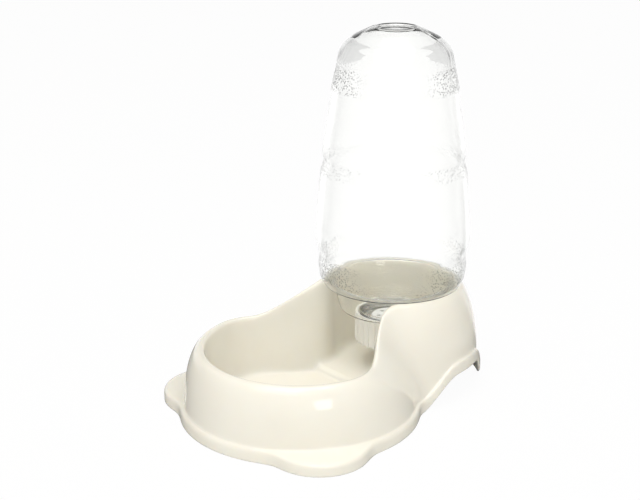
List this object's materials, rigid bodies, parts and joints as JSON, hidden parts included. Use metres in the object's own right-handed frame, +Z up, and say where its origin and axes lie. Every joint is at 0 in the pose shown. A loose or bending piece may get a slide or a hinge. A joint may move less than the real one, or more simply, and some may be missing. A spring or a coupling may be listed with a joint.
{
  "type": "gravity pet water dispenser",
  "caption": "Low open water bowl with a rear tower that holds an upturned clear bottle; a sprung valve in the screw cap refills the bowl.",
  "frame": {"origin": "on the floor, under the middle of the whole object's outline", "axes": "+Z up, -Y towards the drinking bowl, +Y towards the bottle tower, +X to the right when seen from the bowl's front"},
  "size_m": [0.2132, 0.2805, 0.3017],
  "materials": {
    "moulded_housing": "glossy ivory moulded plastic",
    "clear_bottle": "clear thin blown plastic",
    "moulded_cap": "glossy off-white moulded plastic",
    "moulded_valve": "satin white moulded plastic",
    "seal_rubber": "soft grey rubber",
    "spring_steel": "bright drawn wire"
  },
  "bodies": {
    "dispenser": {"base_bowl": "moulded_housing", "reservoir_bottle": "clear_bottle", "screw_cap": "moulded_cap", "cap_gasket": "seal_rubber", "valve_cage": "moulded_valve", "valve_spring": "spring_steel"},
    "valve": {"valve_stem": "moulded_valve", "valve_seal": "seal_rubber"}
  },
  "joints": [
    {"name": "valve_lift", "type": "slide", "parent": "dispenser", "child": "valve", "axis": [0, 0, 1], "range_m": [0, 0.002], "stiffness_N_per_m": 150, "springref_m": -0.004, "deforming": ["valve_spring"]}
  ]
}
